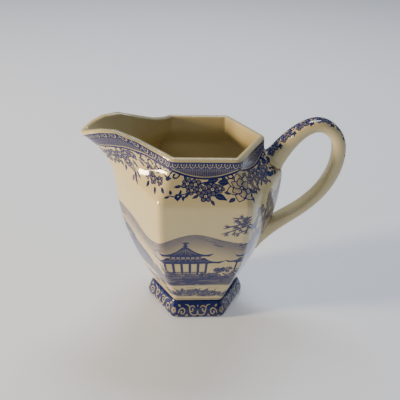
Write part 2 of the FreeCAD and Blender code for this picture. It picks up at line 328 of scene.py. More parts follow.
class Sheet:
    """A flat sheet of tissue: outlines of ink laid one over another, in millimetres."""

    def __init__(self, x0, x1, w0, w1, columns, rows):
        self.x0, self.x1, self.w0, self.w1 = x0, x1, w0, w1
        self.columns, self.rows = np.asarray(columns), np.asarray(rows)
        self.outlines, self.inks = [], []

    def shape(self, points, ink):
        """Lays on one outline of ink, and again at the other end of the sheet if it runs over the seam."""
        points = np.asarray(points, float)
        if len(points) < 3:
            return
        self.outlines.append(points)
        self.inks.append(ink)
        wide = self.x1 - self.x0
        if points[:, 0].max() > self.x1 - 0.01:
            self.outlines.append(points - [wide, 0])
            self.inks.append(ink)
        elif points[:, 0].min() < self.x0 + 0.01:
            self.outlines.append(points + [wide, 0])
            self.inks.append(ink)

    def cut(self, outline):
        """The outline with a point wherever it crosses the sheet's own rows and columns."""
        out = []
        for a, b in zip(outline, np.roll(outline, -1, axis=0)):
            low, high = np.minimum(a, b), np.maximum(a, b)
            t = [np.zeros(1)]
            for axis, lines in ((0, self.columns), (1, self.rows)):
                inside = lines[(lines > low[axis] + 1e-3) & (lines < high[axis] - 1e-3)]
                t.append((inside - a[axis]) / (b[axis] - a[axis] if len(inside) else 1))
            out.append(a + (b - a) * np.sort(np.concatenate(t))[:, None])
        return np.vstack(out)

    def mesh(self, name):
        """Cuts the sheet along every outline and gives each piece the ink of the topmost one."""
        grid = [(x, w) for w in self.rows for x in self.columns]
        n, m = len(self.columns), len(self.rows)
        rim = list(range(n)) + [r * n + n - 1 for r in range(1, m)]
        rim += [(m - 1) * n + c for c in range(n - 2, -1, -1)] + [r * n for r in range(m - 2, 0, -1)]
        verts, faces = grid, [rim[::-1]]
        for outline in self.outlines:
            outline = self.cut(outline)
            start = len(verts)
            x, w = outline[:, 0], outline[:, 1]
            clockwise = np.sum(x * np.roll(w, -1) - np.roll(x, -1) * w) > 0
            verts += [tuple(p) for p in (outline[::-1] if clockwise else outline)]
            faces.append(list(range(start, len(verts))))
        flat, _, tris, _, _, origin = delaunay_2d_cdt(
            [Vector((x, -w)) for x, w in verts], [], faces, 0, 1e-4, True)
        spots = np.array([tuple(v) for v in flat]) * [1, -1]
        keep = [i for i, t in enumerate(tris) if len(t) == 3 and 0 in origin[i]]
        corners = np.array([tris[i] for i in keep])
        top = np.array([max(origin[i]) for i in keep])
        a, b, c = (spots[corners[:, i]] for i in range(3))
        area = (b[:, 0] - a[:, 0]) * (a[:, 1] - c[:, 1]) - (b[:, 1] - a[:, 1]) * (a[:, 0] - c[:, 0])
        corners = np.where((area < 0)[:, None], corners[:, ::-1], corners)
        ink = np.zeros(corners.shape)
        plain = np.array([0.0] + [i if isinstance(i, (int, float)) else -1.0 for i in self.inks])
        ink[:] = plain[top][:, None]
        for number, rule in enumerate(self.inks, 1):
            if not isinstance(rule, (int, float)):
                mine = top == number
                if mine.any():
                    at = spots[corners[mine]]
                    ink[mine] = rule(at[..., 0], at[..., 1])
        mesh = bpy.data.meshes.new(name)
        mesh.from_pydata([(x * MM, -w * MM, 0.0) for x, w in spots], [], corners.tolist())
        share = np.column_stack([(spots[:, 0] - self.x0) / (self.x1 - self.x0),
                                 (spots[:, 1] - self.w0) / (self.w1 - self.w0), np.zeros(len(spots))])
        place = mesh.attributes.new("spot", "FLOAT_VECTOR", "POINT")
        place.data.foreach_set("vector", share.ravel().astype(np.float32))
        loops = np.empty(len(mesh.loops), np.int32)
        mesh.loops.foreach_get("vertex_index", loops)
        tone = mesh.attributes.new("ink", "FLOAT", "CORNER")
        tone.data.foreach_set("value", np.clip(ink.ravel(), 0, 1).astype(np.float32))
        uv = mesh.uv_layers.new(name="print")
        uv.data.foreach_set("uv", (spots[loops] * [1, -1]).ravel().astype(np.float32))
        return mesh


# ---------------------------------------------------------------- wrapping the sheet on a form

def add_node(tree, kind, settings=None, sockets=None, wires=None):
    """One node with its settings, its sockets' values and the links that come into it."""
    node = tree.nodes.new(kind)
    for key, value in (settings or {}).items():
        setattr(node, key, value)
    for key, value in (sockets or {}).items():
        node.inputs[key].default_value = value
    for key, value in (wires or {}).items():
        tree.links.new(value, node.inputs[key])
    return node


def wrapping():
    """Geometry nodes that lay a flat sheet on a form, close its seams and give it its glaze."""
    tree = bpy.data.node_groups.new("wrap the sheet on the form", "GeometryNodeTree")
    for name, way, kind in (("Sheet", "INPUT", "Geometry"), ("Form", "INPUT", "Object"),
                            ("Seam", "INPUT", "Float"), ("Glaze", "INPUT", "Material"),
                            ("Piece", "OUTPUT", "Geometry")):
        tree.interface.new_socket(name, in_out=way, socket_type="NodeSocket" + kind)
    given = add_node(tree, "NodeGroupInput").outputs
    form = add_node(tree, "GeometryNodeObjectInfo", wires={"Object": given["Form"]}).outputs["Geometry"]
    vector = {"data_type": "FLOAT_VECTOR"}
    spot, sheet_uv, facing = (
        add_node(tree, "GeometryNodeInputNamedAttribute", vector, {"Name": name}).outputs["Attribute"]
        for name in ("spot", "sheet", "facing"))
    where = add_node(tree, "GeometryNodeInputPosition").outputs["Position"]
    turned, place = (add_node(tree, "GeometryNodeSampleUVSurface", vector, wires={
        "Mesh": form, "Value": value, "UV Map": sheet_uv, "Sample UV": spot}).outputs["Value"]
        for value in (facing, where))
    stored = add_node(tree, "GeometryNodeStoreNamedAttribute", {**vector, "domain": "POINT"}, {"Name": "facing"},
                      {"Geometry": given["Sheet"], "Value": turned})
    laid = add_node(tree, "GeometryNodeSetPosition", wires={"Geometry": stored.outputs[0], "Position": place})
    closed = add_node(tree, "GeometryNodeMergeByDistance",
                      wires={"Geometry": laid.outputs[0], "Distance": given["Seam"]})
    real = add_node(tree, "GeometryNodeRealizeInstances", wires={"Geometry": closed.outputs[0]})
    glazed = add_node(tree, "GeometryNodeSetMaterial",
                      wires={"Geometry": real.outputs[0], "Material": given["Glaze"]})
    add_node(tree, "NodeGroupOutput", wires={"Piece": glazed.outputs[0]})
    return tree


WRAP = wrapping()


def wrapped(name, sheet, form, glaze):
    """The printed sheet laid on its form, as a plain mesh with the form's smooth shading."""
    flat = bpy.data.objects.new(name + "_sheet", sheet.mesh(name))
    bpy.context.scene.collection.objects.link(flat)
    modifier = flat.modifiers.new("wrap", "NODES")
    modifier.node_group = WRAP
    for item in WRAP.interface.items_tree:
        if item.in_out == "INPUT" and item.name in ("Form", "Seam", "Glaze"):
            modifier[item.identifier] = {"Form": form, "Seam": 0.001 * MM, "Glaze": glaze}[item.name]
    graph = bpy.context.evaluated_depsgraph_get()
    mesh = bpy.data.meshes.new_from_object(flat.evaluated_get(graph), preserve_all_data_layers=True,
                                           depsgraph=graph)
    mesh.name = name
    facing = np.empty(len(mesh.vertices) * 3, np.float32)
    mesh.attributes["facing"].data.foreach_get("vector", facing)
    facing = facing.reshape(-1, 3)
    facing /= np.maximum(np.linalg.norm(facing, axis=1, keepdims=True), 1e-6)
    mesh.normals_split_custom_set_from_vertices(facing.tolist())
    for spare in ("facing", "spot"):
        mesh.attributes.remove(mesh.attributes[spare])
    piece = bpy.data.objects.new(name, mesh)
    bpy.context.scene.collection.objects.link(piece)
    for spare in (flat, form):
        bpy.data.objects.remove(spare)
    return piece


# ---------------------------------------------------------------- foot and handle

FOOT_W, FOOT_END_W = 13.0, 32.0         # down the foot's sheet: the end of its outside, and of all


def stacked(path, shares):
    """Hexagons of these (corner radius, height) one after another, as a grid of points."""
    rings = both_sides(np.array([hexagon(r, FOOT_SOFT, shares) for r, _ in path]))
    return np.dstack([rings, np.broadcast_to(np.array(path)[:, 1][:, None], rings.shape[:2])])


def foot_form():
    """The flared foot as a closed hexagonal band: down its outside, across, up the hollow and back."""
    glaze_z = 0.35                      # how far above the table the glaze stops
    side = spline([(WAIST_R, WAIST_Z), (27.25, 6.9), (28.4, 3.2), (28.0, 1.1), (27.3, glaze_z)], steps=12)
    hollow = [(21.6, glaze_z), (20.9, 5.5), (20.1, WAIST_Z)]
    outside = lengths(side)
    w = np.concatenate([outside * (FOOT_W / outside[-1]), [17.0, 22.0, 27.0, FOOT_END_W]])
    shares = crowded(24)
    return all_round(shares), w, stacked(np.vstack([side, hollow, [(WAIST_R, WAIST_Z)]]), shares)


def ring_form():
    """The standing ring: a low hexagonal tread, its lower edges rounded, closed above."""
    path = [(27.0, 0.6), (27.0, 0.3), (26.7, 0.06), (26.2, 0.0), (23.6, 0.0), (23.1, 0.06), (22.8, 0.3),
            (22.8, 0.6), (27.0, 0.6)]
    u = np.linspace(0, 3, 49)
    return np.concatenate([-u[:0:-1], u]), lengths(np.array(path)), stacked(path, np.linspace(0, 1, 17))


STRAP_HALF, STRAP_END = 14.0, 6.0       # half the width of the strap's sheet, and what closes each end


def strap_line():
    """Centre line of the strap handle in the plane y = 0, from the upper root to the lower."""
    up, up_z = (SHOULDER_R + NECK_R) / 2 - 1.3, (SHOULDER_Z + NECK_Z) / 2 - 1.3
    far, high, low = 72.3, 107.95, 36.0     # reach from the axis, top of the loop, lower root

    def at(a, z_from, b):
        return up + (far - up) * a, z_from + (high - z_from) * b

    points = [(up, up_z), at(0.31, up_z, 0.715), at(0.64, up_z, 1), at(0.925, up_z, 0.705), at(1, low, 0.78),
              at(0.87, low, 0.52), at(0.5, low, 0.308), at(0.06, low, 0.143), at(-0.2, low, 0)]
    return spline(points, steps=30)


def outside_body(p):
    """About how far points stand out from the body's wall."""
    profile = body_profile()
    axes = [np.array([math.cos(math.radians(a)), math.sin(math.radians(a))]) for a in (30, 90, 150)]
    reach = sum(np.abs(p[..., :2] @ a) ** 14 for a in axes) ** (1 / 14) / COS30
    return (reach - np.interp(p[..., 2], profile[:, 0], profile[:, 1])) * COS30


def strap_form():
    """The strap as rings round its centre line, swelling to its roots with a soft fillet of slip."""
    line = strap_line()
    share = np.linspace(0, 1, 150)
    centre = spaced(line, share)
    ahead = np.gradient(centre, axis=0)
    ahead /= np.linalg.norm(ahead, axis=1, keepdims=True)
    out = np.column_stack([-ahead[:, 1], np.zeros(len(share)), ahead[:, 0]])
    side = np.array([0.0, 1.0, 0.0])
    # It swells to its roots over the first 22 percent and from 70 to 88 percent of its length.
    up = np.maximum(0, 1 - share / 0.22) ** 1.2
    low = np.clip((share - 0.70) / 0.18, 0, 1) ** 1.5
    thick = 7.0 + 4.6 * up + 2.4 * low
    wide = 9.4 + 1.8 * up - 0.8 * low
    turn = np.linspace(-math.pi, math.pi, 73)
    full = 0.72                         # fullness of the oval: 0.55 is an ellipse, 1 a rectangle
    rings = []
    for i, c in enumerate(centre):
        o, s = out[i] * thick[i] / 2, side * wide[i] / 2
        ring = [bezier([o0, o0 + s0 * full, s0 + o0 * full, s0], np.linspace(0, 1, 19))
                for o0, s0 in ((-o, -s), (-s, o), (o, s), (s, -o))]
        ring = np.vstack([ring[0]] + [r[1:] for r in ring[1:]])
        rings.append(np.array([c[0], 0, c[1]]) + spaced(ring, (turn + math.pi) / (2 * math.pi)))
    points = np.array(rings)
    middle = np.column_stack([centre[:, 0], np.zeros(len(share)), centre[:, 1]])[:, None]
    away = points - middle
    away /= np.linalg.norm(away, axis=2, keepdims=True)
    # The fillet starts this far from the wall, and stands out by 0.27 of that where they meet.
    reach = np.where(share < 0.5, 5.2, 2.6)[:, None]
    gap = np.clip(outside_body(points), 0, reach)
    points = points + away * (0.27 * reach * (1 - gap / reach) ** 2.2)[..., None]
    points = np.concatenate([np.broadcast_to(middle[:1], points[:1].shape), points,
                             np.broadcast_to(middle[-1:], points[-1:].shape)])
    long = lengths(line)[-1]
    w = np.concatenate([[-STRAP_END], share * long, [long + STRAP_END]])
    return turn / math.pi * STRAP_HALF, w, points


# ---------------------------------------------------------------- materials

def linear(hex_colour):
    """An sRGB colour such as 'd8cfae' as linear numbers."""
    parts = [int(hex_colour[i:i + 2], 16) / 255 for i in (0, 2, 4)]
    return tuple(p / 12.92 if p <= 0.04045 else ((p + 0.055) / 1.055) ** 2.4 for p in parts) + (1.0,)


def new_material(name):
    """An empty node material and its tree."""
    material = bpy.data.materials.new(name)
    material.use_nodes = True
    material.node_tree.nodes.clear()
    return material, material.node_tree


def printed_earthenware():
    """Slip-cast earthenware, cobalt tissue print under a clear lead-free gloss glaze, fired once more.

    The body shows as a warm cream; the ink is a deep violet blue where solid and a soft grey blue
    where engraved thin; the glaze over both is glass, smooth but very slightly wavy.
    """
    material, tree = new_material("printed glazed earthenware")
    cream = linear("dccb98")
    thin_glaze = linear("d2c294")
    blue = linear("1c2762")
    ink = add_node(tree, "ShaderNodeAttribute", {"attribute_name": "ink"})
    here = add_node(tree, "ShaderNodeTexCoord")
    # Engraved tone: specks about 0.8 mm, coarser than the real 0.2 mm stipple so that they show.
    speck = add_node(tree, "ShaderNodeTexNoise", sockets={"Scale": 1250.0, "Detail": 2.0, "Roughness": 0.6},
                     wires={"Vector": here.outputs["Object"]})
    # Uneven inking and glaze: patches about 6 mm across.
    patch = add_node(tree, "ShaderNodeTexNoise", sockets={"Scale": 160.0, "Detail": 3.0},
                     wires={"Vector": here.outputs["Object"]})
    grain = add_node(tree, "ShaderNodeMath", {"operation": "MULTIPLY_ADD"}, {1: 0.34, 2: 0.88},
                     {0: speck.outputs["Fac"]})
    cloud = add_node(tree, "ShaderNodeMath", {"operation": "MULTIPLY_ADD"}, {1: 0.20, 2: 0.93},
                     {0: patch.outputs["Fac"]})
    both = add_node(tree, "ShaderNodeMath", {"operation": "MULTIPLY"},
                    wires={0: grain.outputs[0], 1: cloud.outputs[0]})
    tone = add_node(tree, "ShaderNodeMath", {"operation": "MULTIPLY", "use_clamp": True},
                    wires={0: ink.outputs["Fac"], 1: both.outputs[0]})
    ground = add_node(tree, "ShaderNodeMix", {"data_type": "RGBA"}, {"A": cream, "B": thin_glaze},
                      {"Factor": patch.outputs["Fac"]})
    colour = add_node(tree, "ShaderNodeMix", {"data_type": "RGBA"}, {"B": blue},
                      {"Factor": tone.outputs[0], "A": ground.outputs["Result"]})
    # The glaze pulls into waves about 9 mm across, a few hundredths of a millimetre deep.
    wave = add_node(tree, "ShaderNodeTexNoise", sockets={"Scale": 110.0, "Detail": 1.0},
                    wires={"Vector": here.outputs["Object"]})
    bump = add_node(tree, "ShaderNodeBump", sockets={"Strength": 0.08, "Distance": 0.0006},
                    wires={"Height": wave.outputs["Fac"]})
    shader = add_node(tree, "ShaderNodeBsdfPrincipled",
                      sockets={"Roughness": 0.09, "IOR": 1.52, "Specular IOR Level": 0.5},
                      wires={"Base Color": colour.outputs["Result"], "Normal": bump.outputs["Normal"]})
    add_node(tree, "ShaderNodeOutputMaterial", wires={"Surface": shader.outputs["BSDF"]})
    return material


def bare_earthenware():
    """The biscuit where the glaze was wiped off: chalky, pale buff, fine grit and a grey rub from use."""
    material, tree = new_material("bare earthenware")
    here = add_node(tree, "ShaderNodeTexCoord")
    # Grit about 0.6 mm across, coarser than the real 0.1 mm so that it shows; the rub lies in 8 mm patches.
    grit = add_node(tree, "ShaderNodeTexNoise", sockets={"Scale": 1600.0, "Detail": 3.0},
                    wires={"Vector": here.outputs["Object"]})
    rub = add_node(tree, "ShaderNodeTexNoise", sockets={"Scale": 120.0, "Detail": 4.0},
                   wires={"Vector": here.outputs["Object"]})
    colour = add_node(tree, "ShaderNodeMix", {"data_type": "RGBA"},
                      {"A": linear("b9a98c"), "B": linear("d8ccb2")}, {"Factor": rub.outputs["Fac"]})
    bump = add_node(tree, "ShaderNodeBump", sockets={"Strength": 0.4, "Distance": 0.0001},
                    wires={"Height": grit.outputs["Fac"]})
    shader = add_node(tree, "ShaderNodeBsdfPrincipled", sockets={"Roughness": 0.85, "IOR": 1.5},
                      wires={"Base Color": colour.outputs["Result"], "Normal": bump.outputs["Normal"]})
    add_node(tree, "ShaderNodeOutputMaterial", wires={"Surface": shader.outputs["BSDF"]})
    return material


# ---------------------------------------------------------------- drawing on the tissue

PALE, LIGHT, DARK = 0.05, 0.32, 1.0     # ink: bare ground, a thin wash, solid
PAST = 140.0                            # an x past either end of the body's sheet
face_width = {"w": [], "plain": [], "spout": []}


def width_at(u, w):
    """Width in millimetres of the face at u, a distance w down the sheet."""
    return np.interp(w, face_width["w"], face_width["spout" if abs(u) < 1 else "plain"])


def flat_at(x, w, size=1.0, flip=1.0, squeeze=1.0):
    """Places a drawing made in millimetres, x right and y down, on a sheet; squeeze widens it along x."""
    return lambda points: np.asarray(points, float) * size * [flip, 1] * [squeeze, 1] + [x, w]


def on_body(u, w, size=1.0, flip=1.0):
    """Places a drawing on the body's sheet, whose faces are drawn wider than they are."""
    return flat_at(u * FACE, w, size, flip, FACE / width_at(u, w))


def turned(points, x, y, degrees):
    """Points turned about the origin and moved to x, y."""
    c, s = math.cos(math.radians(degrees)), math.sin(math.radians(degrees))
    px, py = np.asarray(points, float).T
    return np.column_stack([x + px * c - py * s, y + px * s + py * c])


def stroke(sheet, put, points, width, ink, ends=(0.25, 0.25), steps=4):
    """One pull of the graver: a smooth line that swells and tapers."""
    p = spline(points, steps=steps) if len(points) > 2 else np.asarray(points, float)
    s = lengths(p) / max(lengths(p)[-1], 1e-6)
    half = width / 2 * np.minimum(1, np.minimum(ends[0] + 4 * s, ends[1] + 4 * (1 - s)))
    way = np.gradient(p, axis=0)
    way /= np.maximum(np.linalg.norm(way, axis=1, keepdims=True), 1e-6)
    side = np.column_stack([-way[:, 1], way[:, 0]]) * half[:, None]
    sheet.shape(put(np.vstack([p + side, (p - side)[::-1]])), ink)


def blob(sheet, put, x, y, rx, ry, ink, turn=0.0, bumps=0, depth=0.18, count=10):
    """An oval of ink, or with bumps a lobed one."""
    a = np.linspace(0, 2 * math.pi, max(count, bumps * 3), endpoint=False)
    r = 1 - depth * (0.5 - 0.5 * np.cos(bumps * a)) if bumps else np.ones_like(a)
    sheet.shape(put(turned(np.column_stack([rx * r * np.cos(a), ry * r * np.sin(a)]), x, y, turn)), ink)


def leaf(sheet, put, x, y, long, turn, ink=DARK, wide=0.46, rib=True):
    """A pointed leaf from its stalk at x, y, with a pale rib."""
    t = np.linspace(0, 1, 6)
    half = wide * long * 0.5 * np.sin(math.pi * t ** 0.8)
    edge = np.column_stack([np.concatenate([t, t[-2:0:-1]]) * long, np.concatenate([half, -half[-2:0:-1]])])
    sheet.shape(put(turned(edge, x, y, turn)), ink)
    if rib:
        stroke(sheet, put, turned([(0.15 * long, 0), (0.75 * long, 0)], x, y, turn), 0.08 * long ** 0.5, LIGHT)


def blossom(sheet, put, x, y, r, turn=0.0, petals=5, ink=DARK, fill=0.70):
    """A small open flower: dark edged petals, each notched by a line, round a pale eye."""
    for k in range(petals):
        a = turn + 360 * k / petals
        c, s = math.cos(math.radians(a)), math.sin(math.radians(a))
        blob(sheet, put, x + 0.60 * r * c, y + 0.60 * r * s, 0.50 * r, 0.47 * r, ink, a, count=8)
        if r > 1.6:
            blob(sheet, put, x + 0.66 * r * c, y + 0.66 * r * s, 0.31 * r, 0.27 * r, ink * fill, a, count=6)
            stroke(sheet, put, turned([(0.3 * r, 0), (0.84 * r, 0)], x, y, a), 0.10 * r, ink)
    blob(sheet, put, x, y, 0.26 * r, 0.26 * r, PALE, count=7)
    blob(sheet, put, x, y, 0.12 * r, 0.12 * r, DARK, count=5)


def peony(sheet, put, x, y, r, turn=0.0):
    """A full flower in outline: two rings of pointed petals with engraved shading at their hearts."""
    t = np.linspace(0, 1, 8)
    for far, long, wide, count, fill, start in ((0.30, 0.78, 0.30, 7, 0.10, 0), (0.12, 0.62, 0.24, 6, 0.32, 26)):
        for k in range(count):
            a = turn + start + 360 * k / count
            for grow, ink in ((0.085, DARK), (0.0, fill)):
                along = (far - grow + t * (long + 2 * grow)) * r
                half = (wide + grow) * r * np.sin(math.pi * t ** 0.75) ** 0.8
                petal = np.column_stack([np.concatenate([along, along[-2:0:-1]]),
                                         np.concatenate([half, -half[-2:0:-1]])])
                sheet.shape(put(turned(petal, x, y, a)), ink)
            for bend in (-0.13, 0, 0.13):
                line = [(along[0] + 0.1 * r, bend * 0.4 * r), (along[3], bend * r)]
                stroke(sheet, put, turned(line, x, y, a), 0.07 * r, 0.8)
    blob(sheet, put, x, y, 0.20 * r, 0.20 * r, DARK, bumps=6)
    blob(sheet, put, x, y, 0.09 * r, 0.09 * r, LIGHT, count=6)


def scroll(sheet, put, x, y, r, width, ink, turn=0.0, hand=1, sweep=400, halo=None):
    """A C-scroll winding in to a round bead, with a fine line along it where halo is given."""
    t = np.linspace(0, 1, 9)
    a = np.radians(turn + hand * sweep * t)
    far = r * (1 - 0.72 * t)
    points = np.column_stack([x + far * np.cos(a), y + far * np.sin(a)])
    if halo is not None:
        stroke(sheet, put, points, width * 1.9, halo, steps=3)
    stroke(sheet, put, points, width, ink, (0.5, 1.0), steps=3)
    blob(sheet, put, points[-1][0], points[-1][1], width * 0.8, width * 0.8, ink, count=8)


def bough(sheet, put, x, y, long, turn, seed, ink=0.86):
    """A pine twig: a crooked stem with stars of short needles along it."""
    rnd = random.Random(seed)
    c, s = math.cos(math.radians(turn)), math.sin(math.radians(turn))
    points = [(x + t * long * c + rnd.uniform(-0.5, 0.5), y + t * long * s + rnd.uniform(-0.5, 0.5))
              for t in (0, 0.3, 0.6, 1)]
    stroke(sheet, put, points, 0.75, ink, (0.9, 0.4))
    p = spline(points, steps=5)
    for k in range(4, len(p), 3):
        away = rnd.uniform(0.6, 2.1) * rnd.choice((-1, 1))
        cx, cy = p[k][0] - s * away, p[k][1] + c * away
        stroke(sheet, put, [tuple(p[k - 2]), (cx, cy)], 0.5, ink, (1, 1))
        for n in range(7):
            a = math.radians(rnd.uniform(0, 25) + n * 51)
            far = rnd.uniform(1.2, 2.0)
            stroke(sheet, put, [(cx, cy), (cx + far * math.cos(a), cy + far * math.sin(a))], 0.62, ink, (1, 0.3))


def foliage(sheet, put, x, y, rx, ry, seed, ink=0.86, count=7):
    """A clump of leaves: lobed masses with paler touches of light on them."""
    rnd = random.Random(seed)
    for k in range(count):
        px, py = x + rnd.uniform(-0.7, 0.7) * rx, y + rnd.uniform(-0.7, 0.7) * ry
        size = rnd.uniform(0.42, 0.66)
        blob(sheet, put, px, py, size * rx, size * ry, ink * rnd.uniform(0.75, 1.05), rnd.uniform(0, 90),
             bumps=rnd.choice((5, 6, 7)), depth=0.32)
        for _ in range(2):
            a, far = rnd.uniform(0, 6.28), rnd.uniform(0.1, 0.45) * size * 2
            qx, qy = px + far * rx * math.cos(a) * 0.6, py + far * ry * math.sin(a) * 0.6
            stroke(sheet, put, [(qx - 0.45, qy), (qx, qy - 0.3), (qx + 0.5, qy + 0.05)], 0.32, 0.42, steps=1)


def thicket(sheet, places, ink, count=7):
    """Clumps of leaves on the body, each given as u, w, half width, half height and seed."""
    for u, w, rx, ry, seed in places:
        foliage(sheet, on_body(u, w), 0, 0, rx, ry, seed, ink, count)


def tree(sheet, put, high, seed, ink=0.86):
    """A leaning trunk with three spreading clumps."""
    rnd = random.Random(seed)
    lean = rnd.uniform(-1.5, 1.5)
    stroke(sheet, put, [(0, 0), (lean * 0.2, -0.4 * high), (lean, -0.85 * high)], 0.9, ink, (1.0, 0.3))
    for k, (side, up) in enumerate(((-0.30, 0.55), (0.34, 0.68), (0.0, 0.92))):
        stroke(sheet, put, [(lean * 0.3, -0.35 * high), (side * high * 0.5, -(up - 0.1) * high)], 0.5, ink)
        foliage(sheet, put, side * high + lean * up, -up * high, 0.34 * high, 0.20 * high, seed * 7 + k, ink)


def roof(sheet, put, eave, top, low, high, ink):
    """A tiled roof with hollow sides and upturned corners; eave and top are half widths."""
    edge = spline([(top, high), (top + 0.30 * (eave - top), 0.42 * low + 0.58 * high + 0.9),
                   (eave * 0.84, low - 0.7), (eave * 1.03, low - 1.6)], steps=5)
    under = [(eave * 0.9, low + 0.5), (eave * 0.4, low + 0.3)]
    right = np.vstack([edge, under])
    sheet.shape(put(np.vstack([right, right[::-1] * [-1, 1]])), ink)
    for k in np.linspace(-0.8, 0.8, 7):
        stroke(sheet, put, [(k * top * 0.9, high + 1.2),
                            (k * (0.6 * top + 0.4 * eave), 0.45 * high + 0.55 * low + 0.6),
                            (k * eave * 0.86, low - 0.9)], 0.26, 0.66)
    for side in (-1, 1):
        stroke(sheet, put, edge * [side, 1], 0.75, 1.0, (0.9, 0.6), steps=1)
    stroke(sheet, put, [(-eave * 0.95, low - 0.5), (-eave * 0.5, low + 0.35), (0, low + 0.5),
                        (eave * 0.5, low + 0.35), (eave * 0.95, low - 0.5)], 0.8, 1.0, (0.5, 0.5), steps=3)


def box(sheet, put, x0, x1, y0, y1, ink):
    """An upright rectangle of ink."""
    sheet.shape(put([(x0, y0), (x1, y0), (x1, y1), (x0, y1)]), ink)


def pavilion(sheet, put, half=9.6):
    """An open garden pavilion 2.8 times its half width high: terrace, posts, two hollow tiled roofs."""
    box(sheet, put, -half, half, -13.0, -2, 0.34)
    for k in range(5):
        x = (-0.8 + 0.4 * k) * half
        box(sheet, put, x - 0.12 * half, x + 0.12 * half, -12.0, -4.6, PALE)
    for k in range(6):
        x = (-1.0 + 0.4 * k) * half
        box(sheet, put, x - 0.55, x + 0.55, -13.0, -2, 1.0)
    box(sheet, put, -half * 1.02, half * 1.02, -4.9, -4.3, 1.0)
    for k in range(19):
        x = (-0.95 + k * 1.9 / 18) * half
        box(sheet, put, x - 0.18, x + 0.18, -4.3, -2.4, 0.85)
    sheet.shape(put([(-half * 1.12, -2.5), (half * 1.12, -2.5), (half * 1.2, -0.4), (-half * 1.2, -0.4)]), 0.96)
    box(sheet, put, -half * 1.08, half * 1.08, -1.7, -1.35, LIGHT)
    roof(sheet, put, half * 1.80, half * 0.84, -12.6, -16.6, 1.0)
    box(sheet, put, -half * 0.72, half * 0.72, -17.6, -15.6, 0.55)
    for k in range(7):
        x = (-0.66 + 0.22 * k) * half
        box(sheet, put, x - 0.3, x + 0.3, -17.6, -15.8, 1.0)
    roof(sheet, put, half * 1.22, 0.9, -18.2, -24.2, 0.92)
    stroke(sheet, put, [(0, -23.4), (0.15, -25.4), (0, -27.2)], 1.2, 1.0, (1, 0.7))
    blob(sheet, put, 0, -25.0, 1.1, 0.8, 1.0)
    stroke(sheet, put, [(-0.9, -27.0), (0.2, -27.7), (1.5, -27.0)], 0.8, 1.0, (0.6, 0.6))


def hills(sheet, ridge, foot, ink, fade, low=0.0):
    """A range of hills: dark along its ridge, fading down into mist. Ridge points are (u, w)."""
    line = spline([(u * FACE, w) for u, w in ridge], steps=8)
    order = np.argsort(line[:, 0])
    line = line[order]

    def tone(x, w):
        depth = w - np.interp(x, line[:, 0], line[:, 1])
        return low + (ink - low) * np.exp(-(np.maximum(depth, 0) / fade) ** 2) * np.clip((foot - w) / 5, 0, 1)
    under = np.array([(line[-1, 0], foot), (line[0, 0], foot)])
    sheet.shape(np.vstack([line, under]), tone)
    return line


def streaks(sheet, line, count, seed, ink, deep, long=5.0):
    """Loose engraved strokes down the side of a range of hills."""
    rnd = random.Random(seed)
    for _ in range(count):
        i = rnd.randrange(1, len(line) - 1)
        x, top = line[i]
        w = top + rnd.uniform(0.4, deep)
        slope = (line[i + 1, 1] - line[i - 1, 1]) / max(line[i + 1, 0] - line[i - 1, 0], 0.5)
        far = rnd.uniform(0.4, 1) * long
        points = [(x - far / 2, w - slope * far / 2), (x, w + rnd.uniform(-0.3, 0.3)),
                  (x + far / 2, w + slope * far / 2)]
        stroke(sheet, np.asarray, points, rnd.uniform(0.4, 0.9), ink * rnd.uniform(0.8, 1.15), (0.1, 0.1),
               steps=2)


def water(sheet, u0, u1, w0, w1, count, seed, ink=0.42):
    """Still water: level strokes, closer and darker where it lies in shade."""
    rnd = random.Random(seed)
    for _ in range(count):
        u, w = rnd.uniform(u0, u1), rnd.uniform(w0, w1)
        half = rnd.uniform(1.5, 7.0)
        points = [(u * FACE - half, w), (u * FACE, w + rnd.uniform(-0.25, 0.25)), (u * FACE + half, w)]
        stroke(sheet, np.asarray, points, rnd.uniform(0.3, 0.9), ink * rnd.uniform(0.6, 1.2), (0.1, 0.1), steps=2)


def island(sheet, u, w, long, seed, ink=0.88):
    """A low bank with stones and reeds."""
    rnd = random.Random(seed)
    put = on_body(u, w)
    top = spline([(-long, 0.6), (-long * 0.5, -1.8), (0, -2.8), (long * 0.5, -1.5), (long * 1.1, 1.4)], steps=5)
    sheet.shape(put(np.vstack([top, [(long * 0.5, 2.2), (-long * 0.4, 2.2)]])), 0.74)
    for k in range(int(long * 1.7)):
        x = rnd.uniform(-0.85, 0.85) * long
        y = rnd.uniform(-1.4, 1.3)
        blob(sheet, put, x, y, rnd.uniform(0.9, 2.2), rnd.uniform(0.5, 1.0), ink * rnd.uniform(0.9, 1.1),
             rnd.uniform(-12, 12), bumps=4)
    for k in range(int(long)):
        x, y = rnd.uniform(-0.8, 0.8) * long, rnd.uniform(-1.2, 1.2)
        stroke(sheet, put, [(x - 0.8, y), (x, y - 0.3), (x + 0.9, y)], 0.4, LIGHT, steps=2)
    for k in range(int(long * 1.8)):
        x = rnd.uniform(-0.95, 0.95) * long
        tall = rnd.uniform(1.8, 4.4)
        reed = [(x, 0.2), (x + rnd.uniform(-0.5, 0.5), -tall * 0.6), (x + rnd.uniform(-2.0, 2.0), -tall)]
        stroke(sheet, put, reed, 0.62, ink, (1, 0.1), steps=2)


# ---------------------------------------------------------------- the border under the lip

